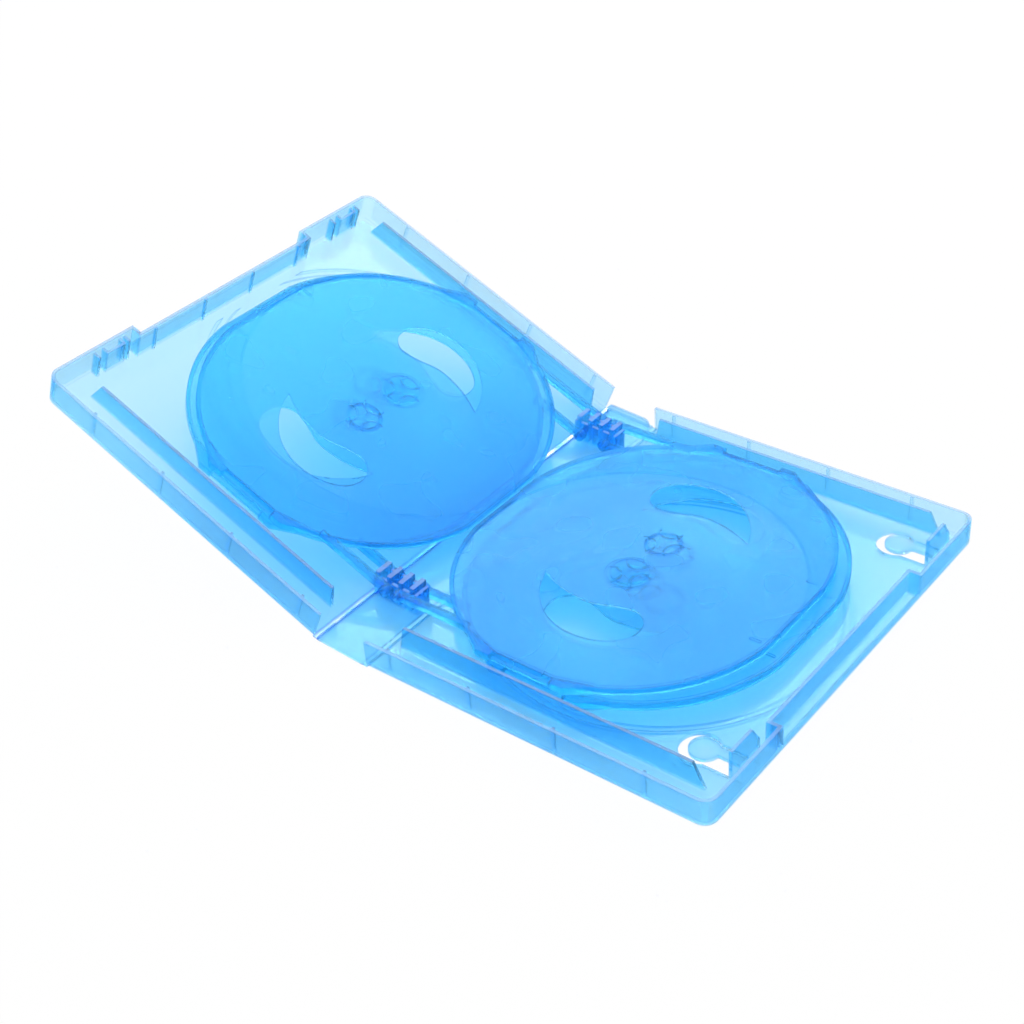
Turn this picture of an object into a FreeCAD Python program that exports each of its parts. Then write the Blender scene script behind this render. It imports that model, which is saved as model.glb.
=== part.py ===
# Disc storage case lying open: a spine with two covers on living hinges,
# and four disc trays that turn on pins on the spine.
# Row frame: origin under the middle of the spine, +X to the right cover,
# +Y to the back edge, +Z up. Lengths are in millimetres, angles in degrees.
import FreeCAD, Part
import math
import os
import re

RIGHT = 1
LEFT = -1

SIZES = [
    # Case shell
    ("case_length", 171.5),
    ("cover_width", 135.6),
    ("spine_half", 11.3),
    ("fold_height", 0.4),
    ("panel", 1.3),
    ("wall", 1.3),
    ("right_wall_height", 10.7),
    ("left_wall_height", 12.5),
    ("corner_radius", 5.0),
    ("edge_radius", 1.8),
    ("web_half", 1.0),
    ("web_thickness", 0.6),
    ("right_open", 4.2),
    ("left_open", 19.8),
    # Finger recess in the free edge of each cover
    ("recess_inset", 41.25),
    ("recess_depth", 4.2),
    ("recess_lip", 3.0),
    ("recess_rib_pitch", 25.5),
    # Paper rails of the covers
    ("rail_thick", 1.2),
    ("rail_height", 10.2),
    ("rail_start", 4.7),
    ("rail_free_gap", 9.8),
    ("rail_slope_fold", 2.0),
    ("rail_slope_free", 4.8),
    ("rail_front_inset", 13.55),
    ("rail_back_inset", 5.95),
    ("rib_thick", 1.0),
    ("rib_depth", 0.8),
    ("rib_first", 10.2),
    ("rib_pitch", 33.8),
    # Disc ring and low hub on the floor of each cover
    ("ring_shift", 1.5),
    ("ring_radius", 62.6),
    ("ring_width", 1.2),
    ("ring_height", 0.5),
    ("fine_ring_radius", 60.2),
    ("fine_ring_width", 0.5),
    ("ring_free_gap", 10.1),
    ("ring_end_gap", 5.0),
    ("floor_hub_radius", 7.4),
    ("floor_hub_wall", 1.2),
    ("floor_hub_height", 1.5),
    # Snap tongues of the right cover
    ("tongue_free_gap", 20.2),
    ("tongue_front_inset", 28.65),
    ("tongue_back_inset", 16.85),
    ("tongue_radius", 5.2),
    ("tongue_dish_radius", 24.0),
    ("tongue_dish_depth", 0.6),
    ("tongue_hole_radius", 7.1),
    ("tongue_hole_shift", 0.9),
    ("tongue_hole_before", 6.6),
    ("tongue_hole_after", 4.3),
    ("tongue_neck_before", 0.6),
    ("tongue_neck_after", 3.8),
    ("blade_free_gap", 7.2),
    ("blade_thick", 1.2),
    ("blade_before", 7.0),
    ("blade_peak", 4.9),
    ("blade_notch", 6.0),
    ("blade_after", 8.9),
    ("blade_height", 12.0),
    ("blade_notch_height", 9.9),
    ("blade_low_height", 5.9),
    # Snap boxes of the left cover
    ("catch_free_gap", 4.4),
    ("catch_front_inset", 25.35),
    ("catch_back_inset", 20.5),
    ("catch_width", 9.0),
    ("catch_height", 11.0),
    ("catch_wall", 1.0),
    ("catch_rib_before", 4.1),
    ("catch_rib_after", 1.2),
    # Spine
    ("end_tab_thick", 1.2),
    ("end_tab_height", 3.6),
    ("end_tab_gap", 0.4),
    ("end_tab_radius", 2.6),
    ("comb_half", 9.6),
    ("comb_wall", 1.2),
    ("comb_height", 9.6),
    ("comb_front_start", -56.8),
    ("comb_front_end", -49.9),
    ("comb_back_start", 60.9),
    ("comb_back_end", 67.2),
    ("fin_thick", 1.8),
    ("fin_pitch", 5.05),
    ("fin_height", 12.2),
    # Tray pivots
    ("pin_radius", 1.2),
    ("pin_clearance", 0.08),
    ("pin_length", 3.4),
    ("inner_pivot_x", 2.6),
    ("inner_pivot_height", 7.7),
    ("outer_pivot_x", 5.7),
    ("outer_pivot_height", 5.3),
    ("inner_plane", 1.94),
    ("outer_plane", 6.02),
    ("arm_width", 3.0),
    ("arm_half", 1.2),
    ("arm_gap", 0.2),
    ("eye_radius", 2.2),
    # Trays
    ("tray_centre_y", 4.05),
    ("tray_centre_height", 67.1),
    ("tray_radius", 61.0),
    ("tray_offset", 10.4),
    ("tray_side", 60.5),
    ("tray_end", 69.5),
    ("plate", 1.2),
    ("rim_wall", 1.4),
    ("rim_half", 1.45),
    ("seat_radius", 60.3),
    ("seat_depth", 0.35),
    ("seat_slope", 0.6),
    ("face_shift", 1.1),
    ("claw_radius", 6.8),
    ("claw_wall", 1.2),
    ("claw_rise", 0.7),
    ("claw_slot", 0.8),
    ("petal_radius", 4.2),
    ("petal_out", 7.0),
    ("petal_slit", 0.5),
    ("petal_reach", 7.8),
    ("moat_radius", 8.8),
    ("moat_width", 0.8),
    ("lug_start", 12.0),
    ("lug_end", 17.5),
    ("lug_root", 26.0),
    ("lug_reach", 2.3),
    ("ledge_reach", 1.6),
    ("ledge_drop", 1.9),
    ("tick_start", 53.6),
    ("tick_end", 57.7),
    ("tick_y", 18.0),
    ("tick_width", 0.9),
    ("tick_height", 0.5),
]

# Outline of the finger opening nearest the front, from the middle of a tray,
# as shares of the tray's radius
FINGER_TIP = (-0.407, -0.413)
FINGER_INNER = [(-0.262, -0.475), (-0.139, -0.500), (-0.016, -0.498), (0.082, -0.464), (0.172, -0.439)]
FINGER_ROUND = [(0.249, -0.438), (0.321, -0.500), (0.334, -0.593), (0.298, -0.675)]
FINGER_OUTER = [
    (0.197, -0.748),
    (0.074, -0.779),
    (-0.049, -0.772),
    (-0.159, -0.731),
    (-0.254, -0.661),
    (-0.344, -0.554),
]

# Directions of the three petals of a tray hub, in degrees from +X
PETALS = (98, 218, 338)

doc = FreeCAD.newDocument("disc_case")
sheet = doc.addObject("Spreadsheet::Sheet", "Sizes")
for row, (name, value) in enumerate(SIZES, 1):
    sheet.set("A%d" % row, name)
    sheet.set("B%d" % row, str(value))
    sheet.setAlias("B%d" % row, name)
doc.recompute()
NAMES = {name for name, value in SIZES}


def size(name):
    return float(sheet.get(name))


def linked(text):
    """The text with each size name pointing at its cell."""
    def named(found):
        word = found.group(0)
        return "Sizes." + word if word in NAMES else word

    return re.sub(r"[a-z][a-z_]+", named, text)


def bind(item, prop, text):
    item.setExpression(prop, linked(text))


def sided(side, start, end):
    """A span measured outward from the fold, turned to the row's X on its side."""
    return (start, end) if side == RIGHT else ("-(%s)" % end, "-(%s)" % start)


def block(side, along, across, up):
    item = doc.addObject("Part::Box", "Block")
    for prop, axis, (start, end) in (
        ("Length", "x", sided(side, *along)),
        ("Width", "y", across),
        ("Height", "z", up),
    ):
        bind(item, prop, "(%s) - (%s)" % (end, start))
        bind(item, "Placement.Base." + axis, start)
    return item


def upright(side, along, y, radius, up):
    item = doc.addObject("Part::Cylinder", "Round")
    bind(item, "Radius", radius)
    bind(item, "Height", "(%s) - (%s)" % (up[1], up[0]))
    bind(item, "Placement.Base.x", along if side == RIGHT else "-(%s)" % along)
    bind(item, "Placement.Base.y", y)
    bind(item, "Placement.Base.z", up[0])
    return item


def pin(x, y_start, z):
    """A pin lying along Y."""
    item = doc.addObject("Part::Cylinder", "Pin")
    item.Placement.Rotation = FreeCAD.Rotation(FreeCAD.Vector(1, 0, 0), -90)
    bind(item, "Radius", "pin_radius")
    bind(item, "Height", "2 * pin_length")
    bind(item, "Placement.Base.x", x)
    bind(item, "Placement.Base.y", y_start)
    bind(item, "Placement.Base.z", z)
    return item


def cut(base, tool):
    item = doc.addObject("Part::Cut", "Cut")
    item.Base = base
    item.Tool = tool
    return item


def common(first, second):
    item = doc.addObject("Part::MultiCommon", "Common")
    item.Shapes = [first, second]
    return item


def fuse(items):
    item = doc.addObject("Part::MultiFuse", "Fuse")
    item.Shapes = items
    item.Refine = True
    return item


def rounded(base, test, radius):
    """The base with the edges that pass the test filleted."""
    doc.recompute()
    numbers = [n for n, edge in enumerate(base.Shape.Edges, 1) if test(edge.BoundBox)]
    item = doc.addObject("Part::Fillet", "Rounded")
    item.Base = base
    item.Edges = [(n, radius, radius) for n in numbers]
    return item


def at_free_edge(side, reach):
    """A test for the upright edges at the free end of a cover."""
    return lambda box: box.ZLength > 1 and box.XLength < 0.01 and abs(box.Center.x - side * reach) < 0.01


FLOOR = "panel - fold_height"
BASE = "-fold_height"


FRONT = "-case_length / 2"
BACK = "case_length / 2"


def rail(side, y):
    """A slant-ended blade that holds the paper insert."""
    item = doc.addObject("Part::Wedge", "Rail")
    item.Placement.Rotation = FreeCAD.Rotation(FreeCAD.Vector(1, 0, 0), 90)
    end = "cover_width - rail_free_gap"
    low = sided(side, "rail_start", end)
    high = sided(side, "rail_start + rail_slope_fold", end + " - rail_slope_free")
    for prop, text in (
        ("Xmin", low[0]),
        ("Xmax", low[1]),
        ("X2min", high[0]),
        ("X2max", high[1]),
        ("Ymin", "panel / 2"),
        ("Ymax", "rail_height"),
        ("Zmin", "0"),
        ("Zmax", "rail_thick"),
        ("Z2min", "0"),
        ("Z2max", "rail_thick"),
    ):
        bind(item, prop, text)
    bind(item, "Placement.Base.y", "%s + rail_thick / 2" % y)
    bind(item, "Placement.Base.z", BASE)
    return item


def shell(side, height):
    """Floor and three outer walls, open towards the spine."""
    top = height + " - fold_height"
    outer = block(side, ("web_half", "cover_width"), (FRONT, BACK), (BASE, top))
    outer = rounded(outer, at_free_edge(side, size("cover_width")), size("corner_radius"))
    low = -size("fold_height")
    fold = size("web_half")
    outer = rounded(
        outer,
        lambda box: abs(box.ZMax - low) < 0.01
        and not (box.XLength < 0.01 and abs(abs(box.XMax) - fold) < 0.01),
        size("edge_radius"),
    )
    pocket = block(
        side,
        ("web_half - wall", "cover_width - wall"),
        (FRONT + " + wall", BACK + " - wall"),
        (FLOOR, top + " + wall"),
    )
    inner_edge = at_free_edge(side, size("cover_width") - size("wall"))
    pocket = rounded(pocket, inner_edge, size("corner_radius") - size("wall"))
    gap = block(
        side,
        ("cover_width - 1.5 * wall", "cover_width + wall"),
        (FRONT + " + recess_inset", BACK + " - recess_inset"),
        (BASE + " + recess_lip", top + " + wall"),
    )
    return cut(cut(outer, pocket), gap)


def recess(side, height):
    """The set-back wall behind the finger recess, with its two returns."""
    up = (BASE + " + panel / 2", height + " - fold_height")
    near = FRONT + " + recess_inset"
    far = BACK + " - recess_inset"
    back = ("cover_width - recess_depth - wall", "cover_width - recess_depth")
    returns = ("cover_width - recess_depth - wall", "cover_width - wall / 2")
    items = [
        block(side, back, (near + " - wall", far + " + wall"), up),
        block(side, returns, (near + " - wall", near), up),
        block(side, returns, (far, far + " + wall"), up),
    ]
    if side == LEFT:
        rib = ("cover_width - recess_depth - wall - rib_depth", "cover_width - recess_depth - wall / 2")
        for share in (-1.5, -0.5, 0.5, 1.5):
            y = "recess_rib_pitch * %s" % share
            items.append(block(side, rib, (y + " - rib_thick / 2", y + " + rib_thick / 2"), up))
    return items


def wall_ribs(side, height):
    """Upright ribs on the inner faces of the front and back walls."""
    up = (BASE + " + panel / 2", height + " - fold_height")
    front = (FRONT + " + wall / 2", FRONT + " + wall + rib_depth")
    back = (BACK + " - wall - rib_depth", BACK + " - wall / 2")
    items = []
    for count in range(4):
        start = "rib_first + rib_pitch * %d" % count
        along = (start + " - rib_thick / 2", start + " + rib_thick / 2")
        items.append(block(side, along, front, up))
        items.append(block(side, along, back, up))
    return items


def disc_marks(side):
    """The low rings and hub that a disc would lie over on the cover floor."""
    y = "tray_centre_y - tray_offset" if side == RIGHT else "tray_centre_y + tray_offset"
    along = "cover_width / 2 - ring_shift"
    up = (BASE + " + panel / 2", FLOOR + " + ring_height")
    past = (BASE, FLOOR + " + ring_height + panel")
    ring = cut(
        upright(side, along, y, "ring_radius + ring_width", up),
        upright(side, along, y, "ring_radius", past),
    )
    fine_ring = cut(
        upright(side, along, y, "fine_ring_radius + fine_ring_width", (up[0], FLOOR + " + ring_height / 2")),
        upright(side, along, y, "fine_ring_radius", past),
    )
    kept = block(
        side,
        ("1.5 * web_half", "cover_width - ring_free_gap"),
        (FRONT + " + ring_end_gap", BACK + " - ring_end_gap"),
        past,
    )
    hub = cut(
        upright(side, along, y, "floor_hub_radius", (up[0], FLOOR + " + floor_hub_height")),
        upright(
            side,
            along,
            y,
            "floor_hub_radius - floor_hub_wall",
            (BASE, FLOOR + " + floor_hub_height + panel"),
        ),
    )
    return [common(fuse([ring, fine_ring]), kept), hub]


def blade(along, y):
    """The upright hook of a snap tongue, with its cut-down far corner."""
    low = -size("fold_height")
    near = y - size("blade_before")
    far = y + size("blade_after")
    top = low + size("blade_height")
    points = [
        (near, low),
        (near, top),
        (y + size("blade_peak"), top),
        (y + size("blade_notch"), low + size("blade_notch_height")),
        (far, low + size("blade_low_height")),
        (far, low),
    ]
    corners = [FreeCAD.Vector(along, across, up) for across, up in points]
    face = Part.Face(Part.makePolygon(corners + corners[:1]))
    item = doc.addObject("Part::Feature", "Blade")
    item.Shape = face.extrude(FreeCAD.Vector(size("blade_thick"), 0, 0))
    return item


def tongue(y, y_value):
    """A snap tongue of the right cover: the hole around it and its own pieces."""
    through = (BASE + " - panel", FLOOR + " + panel")
    along = "cover_width - tongue_free_gap"
    hook = "cover_width - blade_free_gap"
    hole_along = along + " - tongue_hole_shift"
    hole = fuse([
        upright(RIGHT, hole_along, y + " - tongue_hole_shift", "tongue_hole_radius", through),
        block(RIGHT, (hole_along, hook), (y + " - tongue_hole_before", y + " + tongue_hole_after"), through),
    ])
    dish = doc.addObject("Part::Sphere", "Dish")
    bind(dish, "Radius", "tongue_dish_radius")
    bind(dish, "Placement.Base.x", along)
    bind(dish, "Placement.Base.y", y)
    bind(dish, "Placement.Base.z", FLOOR + " - tongue_dish_depth + tongue_dish_radius")
    up = (BASE, FLOOR)
    pieces = [
        cut(upright(RIGHT, along, y, "tongue_radius", up), dish),
        cut(
            block(
                RIGHT,
                (along + " + tongue_radius / 2", hook + " + blade_thick / 2"),
                (y + " - tongue_neck_before", y + " + tongue_neck_after"),
                up,
            ),
            dish,
        ),
        blade(size("cover_width") - size("blade_free_gap"), y_value),
    ]
    return hole, pieces


def catch(y):
    """A snap box inside the free wall of the left cover, with a rib at each side."""
    up = (BASE + " + panel / 2", BASE + " + catch_height")
    start = "cover_width - catch_free_gap"
    deep = (start, "cover_width - wall / 2")
    items = [cut(
        block(LEFT, deep, (y, y + " + catch_width"), up),
        block(
            LEFT,
            (start + " + catch_wall", "cover_width - wall"),
            (y + " + catch_wall", y + " + catch_width - catch_wall"),
            (FLOOR, BASE + " + catch_height + catch_wall"),
        ),
    )]
    for shift in (" - catch_rib_before", " + catch_width + catch_rib_after"):
        items.append(block(LEFT, deep, (y + shift, y + shift + " + rib_thick"), up))
    return items


def cover(side, label, height, opening):
    body = shell(side, height)
    items = recess(side, height) + wall_ribs(side, height) + disc_marks(side)
    items += [rail(side, FRONT + " + rail_front_inset"), rail(side, BACK + " - rail_back_inset")]
    half = size("case_length") / 2
    if side == RIGHT:
        for y, y_value in (
            (FRONT + " + tongue_front_inset", size("tongue_front_inset") - half),
            (BACK + " - tongue_back_inset", half - size("tongue_back_inset")),
        ):
            hole, pieces = tongue(y, y_value)
            body = cut(body, hole)
            items += pieces
    else:
        items += catch(FRONT + " + catch_front_inset") + catch(BACK + " - catch_back_inset")
    item = fuse([body] + items)
    item.Label = label
    item.Placement.Rotation = FreeCAD.Rotation(FreeCAD.Vector(0, -side, 0), size(opening))
    bind(item, "Placement.Rotation.Angle", opening)
    bind(item, "Placement.Base.x", "spine_half" if side == RIGHT else "-spine_half")
    bind(item, "Placement.Base.z", "fold_height")
    return item


def comb(start, end, outboard):
    """A slotted hinge block on the spine with the pins of the four trays."""
    span = ("-comb_half", "comb_half")
    up = ("panel / 2", "comb_height")
    items = [
        block(RIGHT, span, (start, start + " + comb_wall"), up),
        block(RIGHT, span, (end + " - comb_wall", end), up),
        block(RIGHT, ("-comb_half", "-comb_half + comb_wall"), (start, end), up),
        block(RIGHT, ("comb_half - comb_wall", "comb_half"), (start, end), up),
    ]
    if outboard < 0:
        inner_start, outer_start = start + " - pin_length", end + " - pin_length"
    else:
        inner_start, outer_start = end + " - pin_length", start + " - pin_length"
    for side in (RIGHT, LEFT):
        for share in (0.5, 1.5):
            middle = "fin_pitch * %s" % share
            fin = (middle + " - fin_thick / 2", middle + " + fin_thick / 2")
            items.append(block(side, fin, (start, end), ("panel / 2", "fin_height")))
        sign = "" if side == RIGHT else "-"
        items.append(pin(sign + "inner_pivot_x", inner_start, "inner_pivot_height"))
        items.append(pin(sign + "outer_pivot_x", outer_start, "outer_pivot_height"))
    return items


def spine():
    edge = "spine_half - web_half"
    span = ("-(%s)" % edge, edge)
    tab_end = edge + " - end_tab_gap"
    far = BACK + " - wall - end_tab_gap"
    tab = block(
        RIGHT,
        ("-(%s)" % tab_end, tab_end),
        (far + " - end_tab_thick", far),
        ("panel / 2", "panel + end_tab_height"),
    )
    top = size("panel") + size("end_tab_height")
    reach = size("spine_half") - size("web_half") - size("end_tab_gap")
    tab = rounded(
        tab,
        lambda box: box.YLength > 0.1
        and box.XLength < 0.01
        and abs(box.ZMin - top) < 0.01
        and abs(box.XMax) > reach - 0.1,
        size("end_tab_radius"),
    )
    items = [block(RIGHT, span, (FRONT, BACK), ("0", "panel")), tab]
    items += comb("comb_front_start", "comb_front_end", -1)
    items += comb("comb_back_start", "comb_back_end", 1)
    item = fuse(items)
    item.Label = "spine"
    return item


def hinge_web(side, label, opening):
    """The thin bent strip of a living hinge, between the spine and a cover."""
    half = size("web_half")
    thin = size("web_thickness") / 2
    angle = math.radians(size(opening))
    bend = thin * math.tan(angle / 2)

    def raised(x, z):
        return (x * math.cos(angle) - z * math.sin(angle), x * math.sin(angle) + z * math.cos(angle))

    points = [
        (-half, -thin),
        (bend, -thin),
        raised(half, -thin),
        raised(half, thin),
        (-bend, thin),
        (-half, thin),
    ]
    length = size("case_length")
    corners = [FreeCAD.Vector(side * x, -length / 2, z) for x, z in points]
    face = Part.Face(Part.makePolygon(corners + corners[:1]))
    item = doc.addObject("Part::Feature", "Web")
    item.Shape = face.extrude(FreeCAD.Vector(0, length, 0))
    item.Label = label
    item.Placement.Base = FreeCAD.Vector(side * size("spine_half"), 0, size("fold_height"))
    return item


def tray_outline(inset):
    """The tray's outline face: two discs run together, with flat sides and ends."""
    radius = size("tray_radius") - inset
    shift = size("tray_offset")
    flat = size("tray_side") - inset
    end = size("tray_end") - inset
    side_y = shift + math.sqrt(radius ** 2 - flat ** 2)
    end_x = math.sqrt(radius ** 2 - (end - shift) ** 2)
    turn = (math.acos(flat / radius) + math.asin((end - shift) / radius)) / 2
    mid = (radius * math.cos(turn), shift + radius * math.sin(turn))
    corners = [(flat, -side_y), (flat, side_y), (end_x, end), (-end_x, end)]
    corners += [(-flat, side_y), (-flat, -side_y), (-end_x, -end), (end_x, -end)]
    points = [FreeCAD.Vector(x, y, 0) for x, y in corners]
    mids = {1: (1, 1), 3: (-1, 1), 5: (-1, -1), 7: (1, -1)}
    edges = []
    for n, point in enumerate(points):
        following = points[(n + 1) % len(points)]
        if n in mids:
            across, along = mids[n]
            middle = FreeCAD.Vector(across * mid[0], along * mid[1], 0)
            edges.append(Part.Arc(point, middle, following).toShape())
        else:
            edges.append(Part.LineSegment(point, following).toShape())
    return Part.Face(Part.Wire(edges))


def raised_face(face, low, high):
    solid = face.extrude(FreeCAD.Vector(0, 0, high - low))
    solid.translate(FreeCAD.Vector(0, 0, low))
    return solid


def disc(x, y, radius, low, high):
    return Part.makeCylinder(radius, high - low, FreeCAD.Vector(x, y, low))


def brick(x0, x1, y0, y1, z0, z1):
    return Part.makeBox(x1 - x0, y1 - y0, z1 - z0, FreeCAD.Vector(x0, y0, z0))


def prism(points, low, high):
    corners = [FreeCAD.Vector(x, y, 0) for x, y in points]
    return raised_face(Part.Face(Part.makePolygon(corners + corners[:1])), low, high)


def finger_hole(turn, middle, low, high):
    """A leaf-shaped finger opening; turn gives the signs of X and Y."""
    radius = size("tray_radius")

    def vectors(points):
        return [FreeCAD.Vector(middle + turn[0] * x * radius, turn[1] * y * radius, 0) for x, y in points]

    runs = [[FINGER_TIP] + FINGER_INNER, FINGER_INNER[-1:] + FINGER_ROUND, FINGER_ROUND[-1:] + FINGER_OUTER]
    runs[-1].append(FINGER_TIP)
    edges = []
    for run in runs:
        curve = Part.BSplineCurve()
        curve.interpolate(vectors(run))
        edges.append(curve.toShape())
    return raised_face(Part.Face(Part.Wire(edges)), low, high)


def hub_slits(x, y, low, high):
    """The curved slits that free the three petals of a hub."""
    inner = size("petal_radius") - size("petal_slit") / 2
    reach = disc(x, y, size("petal_reach"), low, high)
    slits = []
    for angle in PETALS:
        along = x + size("petal_out") * math.cos(math.radians(angle))
        across = y + size("petal_out") * math.sin(math.radians(angle))
        ring = disc(along, across, inner + size("petal_slit"), low, high)
        slits.append(ring.cut(disc(along, across, inner, low, high)).common(reach))
    return slits


def hub_skirt(x, y, low, high):
    """The slotted ring under the hub that faces down."""
    radius = size("claw_radius")
    inner = radius - size("claw_wall")
    slot = size("claw_slot")
    skirt = disc(x, y, radius, low, high).cut(disc(x, y, inner, low, high))
    for n in range(6):
        gap = brick(x + inner - slot, x + radius + slot, y - slot / 2, y + slot / 2, low, high - slot)
        gap.rotate(FreeCAD.Vector(x, y, 0), FreeCAD.Vector(0, 0, 1), 60 * n)
        skirt = skirt.cut(gap)
    return skirt


def disc_seat(x, y, low, inside, high):
    """The shallow bed of a disc, with a sloping edge, kept inside the tray's rim."""
    slope = size("seat_slope")
    radius = size("seat_radius")
    bed = Part.makeCone(radius, radius + 2 * slope, 2 * size("seat_depth"), FreeCAD.Vector(x, y, low))
    return bed.common(raised_face(inside, low, high))


def end_lugs(rim):
    """The flared ears at the ends of the front and back flats, and the low ledge between them."""
    end = size("tray_end")
    out = end + size("lug_reach")
    inside = end - size("rim_wall")
    root = size("lug_root")
    root_y = size("tray_offset") + math.sqrt(size("tray_radius") ** 2 - root ** 2)
    shape = [
        (size("lug_start"), inside),
        (size("lug_start"), out),
        (size("lug_end"), out),
        (root, root_y),
        (root - size("rim_wall"), root_y - size("rim_wall")),
    ]
    pieces = []
    for across in (-1, 1):
        for along in (-1, 1):
            points = [(across * x, along * y) for x, y in shape]
            pieces.append(prism(points, -rim, rim))
    low = rim - size("ledge_drop")
    reach = end + size("ledge_reach")
    pieces.append(brick(-size("lug_start"), size("lug_start"), inside, reach, -rim, low))
    pieces.append(brick(-size("lug_start"), size("lug_start"), -reach, -inside, -rim, low))
    return pieces


def tray(side, level, label, opening):
    rim = size("rim_half")
    under = rim - size("plate")
    up_y = -side * size("tray_offset")
    outline = tray_outline(0)
    inside = tray_outline(size("rim_wall"))
    seat = rim - size("seat_depth")
    face_x = size("face_shift") if level == "inner" else 0
    plate = raised_face(outline, under, rim).cut(disc_seat(face_x, up_y, seat, inside, rim + 1))
    rim_ring = raised_face(outline, -rim, under).cut(raised_face(inside, -rim, under))
    pieces = [rim_ring, hub_skirt(face_x, -up_y, -rim, under)] + end_lugs(rim)
    pieces.append(disc(face_x, up_y, size("claw_radius"), under, seat + size("claw_rise")))
    for y in (-size("tick_y"), size("tick_y")):
        ends = sorted((side * size("tick_start"), side * size("tick_end")))
        half = size("tick_width") / 2
        pieces.append(brick(ends[0], ends[1], y - half, y + half, under, seat + size("tick_height")))

    pivot_x = size(level + "_pivot_x")
    pivot_height = size(level + "_pivot_height")
    reach_x = size("tray_centre_height") - pivot_height
    lift = pivot_x - size(level + "_plane")
    gap = size("arm_gap")
    width = size("arm_width")
    middle = size("tray_centre_y")
    if level == "inner":
        starts = [size("comb_front_start") - gap - width, size("comb_back_end") + gap]
    else:
        starts = [size("comb_front_end") + gap, size("comb_back_start") - gap - width]
    holes = []
    for start in starts:
        start -= middle
        far = min(max(abs(start), abs(start + width)), size("tray_end") - 0.1)
        chord = math.sqrt(size("tray_radius") ** 2 - (far - size("tray_offset")) ** 2)
        axis = FreeCAD.Vector(-side * reach_x, start, -lift)
        along = FreeCAD.Vector(0, 1, 0)
        ends = sorted((-side * reach_x, -side * (chord - 1)))
        pieces.append(Part.makeCylinder(size("eye_radius"), width, axis, along))
        pieces.append(brick(ends[0], ends[1], start, start + width, -size("arm_half"), size("arm_half")))
        holes.append(Part.makeCylinder(size("pin_radius") + size("pin_clearance"), width, axis, along))

    solid = plate.fuse(pieces)
    for y in (up_y, -up_y):
        for slit in hub_slits(face_x, y, -rim - 1, rim + 1):
            solid = solid.cut(slit)
    moat = size("moat_radius")
    ring = disc(face_x, up_y, moat, seat - size("seat_depth"), rim)
    solid = solid.cut(ring.cut(disc(face_x, up_y, moat - size("moat_width"), under, rim)))
    mirrored = 1 if level == "inner" else -1
    for turn in ((mirrored, 1), (-mirrored, -1)):
        solid = solid.cut(finger_hole(turn, face_x, -rim - 1, rim + 1))
    for hole in holes:
        solid = solid.cut(hole)
    item = doc.addObject("Part::Feature", "Tray")
    item.Shape = solid.removeSplitter()
    item.Label = label
    from_pivot = FreeCAD.Placement(FreeCAD.Vector(side * reach_x, 0, lift), FreeCAD.Rotation())
    turned = FreeCAD.Placement(
        FreeCAD.Vector(side * pivot_x, middle, pivot_height),
        FreeCAD.Rotation(FreeCAD.Vector(0, -side, 0), size(opening)),
    )
    item.Placement = turned.multiply(from_pivot)
    return item


NODES = [
    spine(),
    cover(RIGHT, "right_cover", "right_wall_height", "right_open"),
    cover(LEFT, "left_cover", "left_wall_height", "left_open"),
    hinge_web(RIGHT, "right_hinge_web", "right_open"),
    hinge_web(LEFT, "left_hinge_web", "left_open"),
    tray(RIGHT, "inner", "right_inner_tray", "right_open"),
    tray(RIGHT, "outer", "right_outer_tray", "right_open"),
    tray(LEFT, "inner", "left_inner_tray", "left_open"),
    tray(LEFT, "outer", "left_outer_tray", "left_open"),
]
doc.recompute()

for item in doc.Objects:
    if "Invalid" in item.State or "Error" in item.State:
        raise RuntimeError("%s did not compute: %s" % (item.Name, item.State))
os.makedirs("parts", exist_ok=True)
for item in NODES:
    if item.Shape.isNull() or not item.Shape.isValid():
        raise RuntimeError("%s has no valid shape" % item.Label)
    print(item.Label, len(item.Shape.Solids), "solids", round(item.Shape.Volume / 1000, 2), "cm3")
    item.Shape.exportStep("parts/%s.step" % item.Label)
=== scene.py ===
# Translucent blue disc storage case, lying open on white paper.
# Lengths are in metres and angles in degrees.
import math

import bmesh
import bpy
from mathutils import Euler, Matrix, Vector


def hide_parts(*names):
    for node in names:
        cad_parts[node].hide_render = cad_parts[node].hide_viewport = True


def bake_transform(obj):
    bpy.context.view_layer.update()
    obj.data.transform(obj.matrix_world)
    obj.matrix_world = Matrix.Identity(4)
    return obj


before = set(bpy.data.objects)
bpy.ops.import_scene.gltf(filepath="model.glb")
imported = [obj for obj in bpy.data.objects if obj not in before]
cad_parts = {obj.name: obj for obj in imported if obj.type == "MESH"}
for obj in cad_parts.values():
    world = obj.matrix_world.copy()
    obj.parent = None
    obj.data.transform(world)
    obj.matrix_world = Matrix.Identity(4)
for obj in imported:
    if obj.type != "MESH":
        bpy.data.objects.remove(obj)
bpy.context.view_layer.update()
scene = bpy.context.scene
scene.view_settings.view_transform = "Standard"

# Fold lines between the spine and the covers
FOLD_X = 0.0113
FOLD_Z = 0.0004
RIGHT_OPEN = 4.2
LEFT_OPEN = 19.8

# Living hinges along the folds
CASE_LENGTH = 0.1715
WEB_HALF = 0.001
WEB_THICK = 0.0006
WEB_STEPS = 10

# Plastic skin: rounded edges, and the widths of its ripple and satin patches
EDGE_RADIUS = 0.00035
RIPPLE_WIDTH = 1 / 110
PATCH_WIDTH = 1 / 70

# Paper rails stand inside the end walls, and tops of walls, rails and fins are above CREST_HEIGHT; a
# highlight is painted on those tops
RAIL_REACH = 0.0815
CREST_HEIGHT = 0.0094

# Share of light that each dye lets through, as linear red, green and blue
COVER_DYE = (0.012, 0.72, 1.0, 1.0)
TRAY_DYE = (0.012, 0.83, 1.0, 1.0)

# White paper just under the case
FLOOR_HALF = 6.0
FLOOR_DROP = 0.0004


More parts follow.
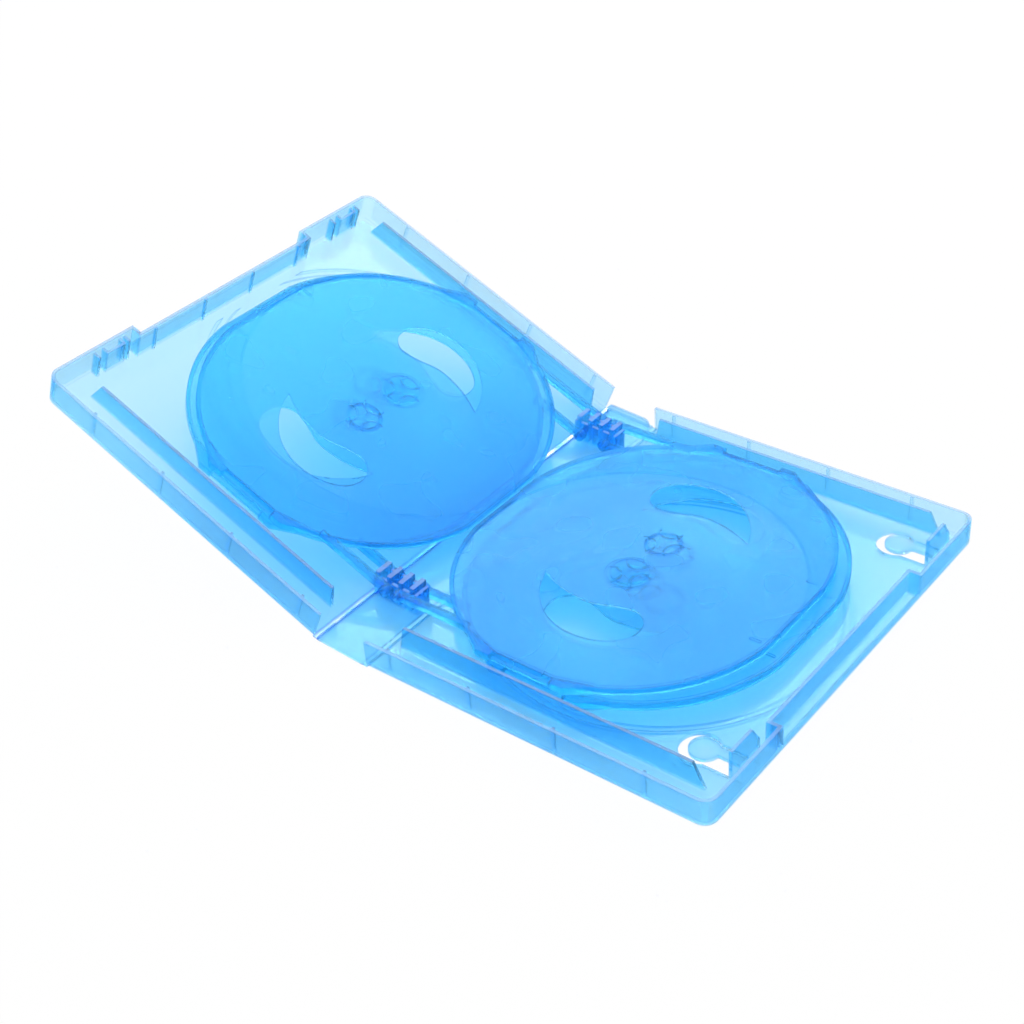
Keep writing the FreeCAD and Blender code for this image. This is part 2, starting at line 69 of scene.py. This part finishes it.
def colour(text):
    """An sRGB hex value as linear RGBA."""
    parts = [int(text[k:k + 2], 16) / 255 for k in (1, 3, 5)]
    return [c / 12.92 if c <= 0.04045 else ((c + 0.055) / 1.055) ** 2.4 for c in parts] + [1.0]


def add(tree, kind, inputs=None, **settings):
    """Adds a node; an input is a value, or the output socket that feeds it."""
    made = tree.nodes.new(kind)
    for name, value in settings.items():
        setattr(made, name, value)
    for name, value in (inputs or {}).items():
        if isinstance(value, bpy.types.NodeSocket):
            tree.links.new(value, made.inputs[name])
        else:
            made.inputs[name].default_value = value
    return made


def new_material(name):
    material = bpy.data.materials.new(name)
    material.use_nodes = True
    material.node_tree.nodes.clear()
    return material, material.node_tree


def painted_top_highlight(tree, skin, at, facing):
    """The skin with a painted lavender highlight on the narrow upward faces of walls, rails and fins,
    where light falls on them.
    """
    high = add(tree, "ShaderNodeMath", {0: at["Z"], 1: CREST_HEIGHT}, operation="GREATER_THAN")
    upward = add(tree, "ShaderNodeMath", {0: facing["Z"], 1: 0.7}, operation="GREATER_THAN")
    crest = add(tree, "ShaderNodeMath", {
        0: high.outputs[0],
        1: upward.outputs[0],
    }, operation="MULTIPLY")
    highlight_amount = add(tree, "ShaderNodeMath", {0: crest.outputs[0], 1: 0.35}, operation="MULTIPLY")
    # Painted highlight: a lavender diffuse mixed over the lit tops
    top_highlight_paint = add(tree, "ShaderNodeBsdfDiffuse", {"Color": colour("#b8d2ff")})
    return add(tree, "ShaderNodeMixShader", {
        0: highlight_amount.outputs[0],
        1: skin.outputs["Shader"],
        2: top_highlight_paint.outputs["BSDF"],
    })


def cloudy_rails(tree, at, facing, clear_share):
    """How solid the plastic looks: clear_share all over, and cloudier on rails and hinge blocks."""
    aside = add(tree, "ShaderNodeMath", {0: at["Y"]}, operation="ABSOLUTE")
    inside = add(tree, "ShaderNodeMath", {0: aside.outputs[0], 1: RAIL_REACH}, operation="LESS_THAN")
    endways = add(tree, "ShaderNodeMath", {0: facing["Y"]}, operation="ABSOLUTE")
    upright = add(tree, "ShaderNodeMath", {0: endways.outputs[0], 1: 0.8}, operation="GREATER_THAN")
    rail = add(tree, "ShaderNodeMath", {
        0: inside.outputs[0],
        1: upright.outputs[0],
    }, operation="MULTIPLY")
    return add(tree, "ShaderNodeMapRange", {
        "Value": rail.outputs[0],
        "To Min": clear_share,
        "To Max": 0.85,
    })


def blue_polypropylene(name, dye, dye_density, haze, share, bend, tilt=None):
    """Dyed polypropylene from a satin steel mould: clear, a little hazy, deeper blue wherever light
    runs further through it, as along a wall, with a painted dark line at each edge standing in for
    the shade its rounded edge throws by refraction. Where tilt is given, tops get a painted
    lavender highlight where light falls on them and rails are cloudy, measured in a piece that is
    turned by that angle about its fold."""
    material, tree = new_material(name)
    coordinates = add(tree, "ShaderNodeTexCoord").outputs
    place = coordinates["Object"]
    # Painted shade: a dark tinted line where the rounded edge turns away from the flat face, standing in
    # for the shade its refraction throws
    rounded = add(tree, "ShaderNodeBevel", {"Radius": EDGE_RADIUS}, samples=2).outputs["Normal"]
    flat = add(tree, "ShaderNodeNewGeometry").outputs["Normal"]
    along = add(tree, "ShaderNodeVectorMath", {0: rounded, 1: flat}, operation="DOT_PRODUCT")
    edge = add(tree, "ShaderNodeMapRange", {
        "Value": along.outputs["Value"],
        "From Min": 0.98,
        "From Max": 0.88,
        "To Min": 0.0,
        "To Max": 1.0,
    })
    line = add(tree, "ShaderNodeBsdfTransparent", {"Color": colour("#7cc0f6")})
    # Slow ripple of the moulded skin
    ripple = add(tree, "ShaderNodeTexNoise", {"Vector": place, "Scale": 1 / RIPPLE_WIDTH, "Detail": 0.0})
    bump = add(tree, "ShaderNodeBump", {
        "Height": ripple.outputs["Fac"],
        "Strength": 0.02,
        "Distance": 0.001,
        "Normal": rounded,
    })
    # Satin patches from the mould
    patch = add(tree, "ShaderNodeTexNoise", {"Vector": place, "Scale": 1 / PATCH_WIDTH, "Detail": 0.0})
    satin = add(tree, "ShaderNodeMapRange", {
        "Value": patch.outputs["Fac"],
        "To Min": haze * 0.7,
        "To Max": haze * 1.3,
    })
    plastic = add(tree, "ShaderNodeBsdfPrincipled", {
        "Base Color": colour("#98e4ff"),
        "Roughness": satin.outputs["Result"],
        "IOR": bend,
        "Specular IOR Level": 0.25,
        "Transmission Weight": 0.95,
        "Alpha": share,
        "Normal": bump.outputs["Normal"],
    })
    # Mixes the painted dark edge line over the plastic
    skin = add(tree, "ShaderNodeMixShader", {
        0: edge.outputs["Result"],
        1: plastic.outputs["BSDF"],
        2: line.outputs["BSDF"],
    })
    if tilt is not None:
        turn = math.radians(tilt)
        rise = FOLD_X * math.sin(abs(turn)) + FOLD_Z * (1 - math.cos(turn))
        flattened = add(tree, "ShaderNodeMapping", {
            "Vector": place,
            "Rotation": (0, turn, 0),
            "Location": (0, 0, rise),
        })
        turned = add(tree, "ShaderNodeMapping", {
            "Vector": coordinates["Normal"],
            "Rotation": (0, turn, 0),
        }, vector_type="VECTOR")
        at = add(tree, "ShaderNodeSeparateXYZ", {"Vector": flattened.outputs[0]}).outputs
        facing = add(tree, "ShaderNodeSeparateXYZ", {"Vector": turned.outputs[0]}).outputs
        skin = painted_top_highlight(tree, skin, at, facing)
        solid = cloudy_rails(tree, at, facing, share)
        tree.links.new(solid.outputs["Result"], plastic.inputs["Alpha"])
    # Light passes on to the paper, tinted by the dye alone
    through = add(tree, "ShaderNodeBsdfTransparent", {"Color": colour("#ffffff")})
    rays = add(tree, "ShaderNodeLightPath")
    mixed = add(tree, "ShaderNodeMixShader", {
        0: rays.outputs["Is Shadow Ray"],
        1: skin.outputs["Shader"],
        2: through.outputs["BSDF"],
    })
    depth = add(tree, "ShaderNodeVolumeAbsorption", {"Color": dye, "Density": dye_density})
    add(tree, "ShaderNodeOutputMaterial", {
        "Surface": mixed.outputs["Shader"],
        "Volume": depth.outputs["Volume"],
    })
    return material


def white_paper():
    """Seamless white photo paper: plain white where seen bare, and tinted under the case."""
    material, tree = new_material("white_backdrop_paper")
    rays = add(tree, "ShaderNodeLightPath").outputs
    seen = add(tree, "ShaderNodeMath", {
        0: rays["Is Camera Ray"],
        1: rays["Is Glossy Ray"],
    }, operation="MAXIMUM")
    clear = add(tree, "ShaderNodeMath", {0: rays["Transparent Depth"], 1: 0.5}, operation="LESS_THAN")
    bare = add(tree, "ShaderNodeMath", {0: seen.outputs[0], 1: clear.outputs[0]}, operation="MULTIPLY")
    share = add(tree, "ShaderNodeMapRange", {"Value": bare.outputs[0], "To Min": 0.0, "To Max": 0.97})
    paper = add(tree, "ShaderNodeBsdfDiffuse", {"Color": colour("#fafafa")})
    glow = add(tree, "ShaderNodeEmission", {"Color": colour("#ffffff"), "Strength": 1.0})
    mixed = add(tree, "ShaderNodeMixShader", {
        0: share.outputs["Result"],
        1: paper.outputs[0],
        2: glow.outputs[0],
    })
    add(tree, "ShaderNodeOutputMaterial", {"Surface": mixed.outputs["Shader"]})
    return material


def hinge_web(name, side, cover, open_angle, plastic):
    """A strip across the fold, rolled evenly to the angle at which its cover lies open."""
    bm = bmesh.new()
    bmesh.ops.create_grid(bm, x_segments=WEB_STEPS, y_segments=1, size=1.0)
    bmesh.ops.scale(bm, vec=(WEB_HALF, CASE_LENGTH / 2, 1.0), verts=bm.verts)
    raised = bmesh.ops.extrude_face_region(bm, geom=bm.faces[:])["geom"]
    tops = [v for v in raised if isinstance(v, bmesh.types.BMVert)]
    bmesh.ops.translate(bm, vec=(0, 0, WEB_THICK), verts=tops)
    bmesh.ops.translate(bm, vec=(0, 0, -WEB_THICK / 2), verts=bm.verts)
    radius = 2 * WEB_HALF / math.radians(open_angle)
    for v in bm.verts:
        turn = (v.co.x + WEB_HALF) / radius
        reach = radius - v.co.z
        v.co.x = side * (FOLD_X - WEB_HALF + reach * math.sin(turn))
        v.co.z = FOLD_Z + radius - reach * math.cos(turn)
    bmesh.ops.recalc_face_normals(bm, faces=bm.faces)
    mesh = bpy.data.meshes.new(name)
    bm.to_mesh(mesh)
    bm.free()
    mesh.materials.append(plastic)
    piece = bpy.data.objects.new(name, mesh)
    scene.collection.objects.link(piece)
    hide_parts(cover.replace("_cover", "_hinge_web"))
    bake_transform(piece)


# Moulded plastic of the case, and the deeper blue trays
tray_plastic = blue_polypropylene("dyed_polypropylene_satin_trays", TRAY_DYE, 400.0, 0.25, 0.7, 1.25)
moulded = {
    "spine": blue_polypropylene("dyed_polypropylene_spine", COVER_DYE, 280.0, 0.08, 0.4, 1.35, 0.0),
}
for cover, tilt in (("right_cover", RIGHT_OPEN), ("left_cover", -LEFT_OPEN)):
    moulded[cover] = blue_polypropylene(
        "dyed_polypropylene_" + cover, COVER_DYE, 245.0, 0.06, 0.24, 1.35, tilt)
for name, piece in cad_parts.items():
    piece.data.materials.clear()
    piece.data.materials.append(moulded.get(name, tray_plastic))

# Living hinges, whitened by folding
web_plastic = blue_polypropylene("stress_whitened_polypropylene_hinge", COVER_DYE, 60.0, 0.3, 0.9, 1.4)
hinge_web("right_living_hinge", 1, "right_cover", RIGHT_OPEN, web_plastic)
hinge_web("left_living_hinge", -1, "left_cover", LEFT_OPEN, web_plastic)

# Floor
bm = bmesh.new()
bmesh.ops.create_grid(bm, x_segments=1, y_segments=1, size=FLOOR_HALF)
bmesh.ops.translate(bm, vec=(0, 0, -FLOOR_DROP), verts=bm.verts)
floor_mesh = bpy.data.meshes.new("floor")
bm.to_mesh(floor_mesh)
bm.free()
floor_mesh.materials.append(white_paper())
floor = bpy.data.objects.new("floor", floor_mesh)
scene.collection.objects.link(floor)

# Soft studio light: a white sweep near the horizon under a greyer ceiling
world = bpy.data.worlds.new("studio")
scene.world = world
world.use_nodes = True
world.node_tree.nodes.clear()
ray = add(world.node_tree, "ShaderNodeTexCoord").outputs["Generated"]
height = add(world.node_tree, "ShaderNodeSeparateXYZ", {"Vector": ray}).outputs["Z"]
level = add(world.node_tree, "ShaderNodeMapRange", {
    "Value": height,
    "From Min": 0.45,
    "From Max": 0.8,
    "To Min": 1.0,
    "To Max": 0.8,
})
sky = add(world.node_tree, "ShaderNodeBackground", {
    "Color": colour("#ffffff"),
    "Strength": level.outputs["Result"],
})
add(world.node_tree, "ShaderNodeOutputWorld", {"Surface": sky.outputs[0]})

# Softbox above and behind the case, so that the trays' tinted shadows fall towards the camera
lamp_data = bpy.data.lights.new("key_softbox", "AREA")
lamp_data.energy = 2.5
lamp_data.size = 0.7
lamp = bpy.data.objects.new("key_softbox", lamp_data)
lamp.location = (-0.3, 0.5, 0.75)
lamp.rotation_euler = (Vector((0, 0, 0)) - lamp.location).to_track_quat("-Z", "Y").to_euler()
scene.collection.objects.link(lamp)

# Camera, fitted to the corners of the case in the photograph
camera_data = bpy.data.cameras.new("camera")
camera_data.lens = 61.7017
camera_data.sensor_width = 36.0
camera_data.clip_start = 0.01
camera = bpy.data.objects.new("camera", camera_data)
camera.location = (0.315899, -0.393190, 0.398787)
camera.rotation_euler = Euler([math.radians(a) for a in (52.12718, 0.42646, 37.83276)])
scene.collection.objects.link(camera)
scene.camera = camera
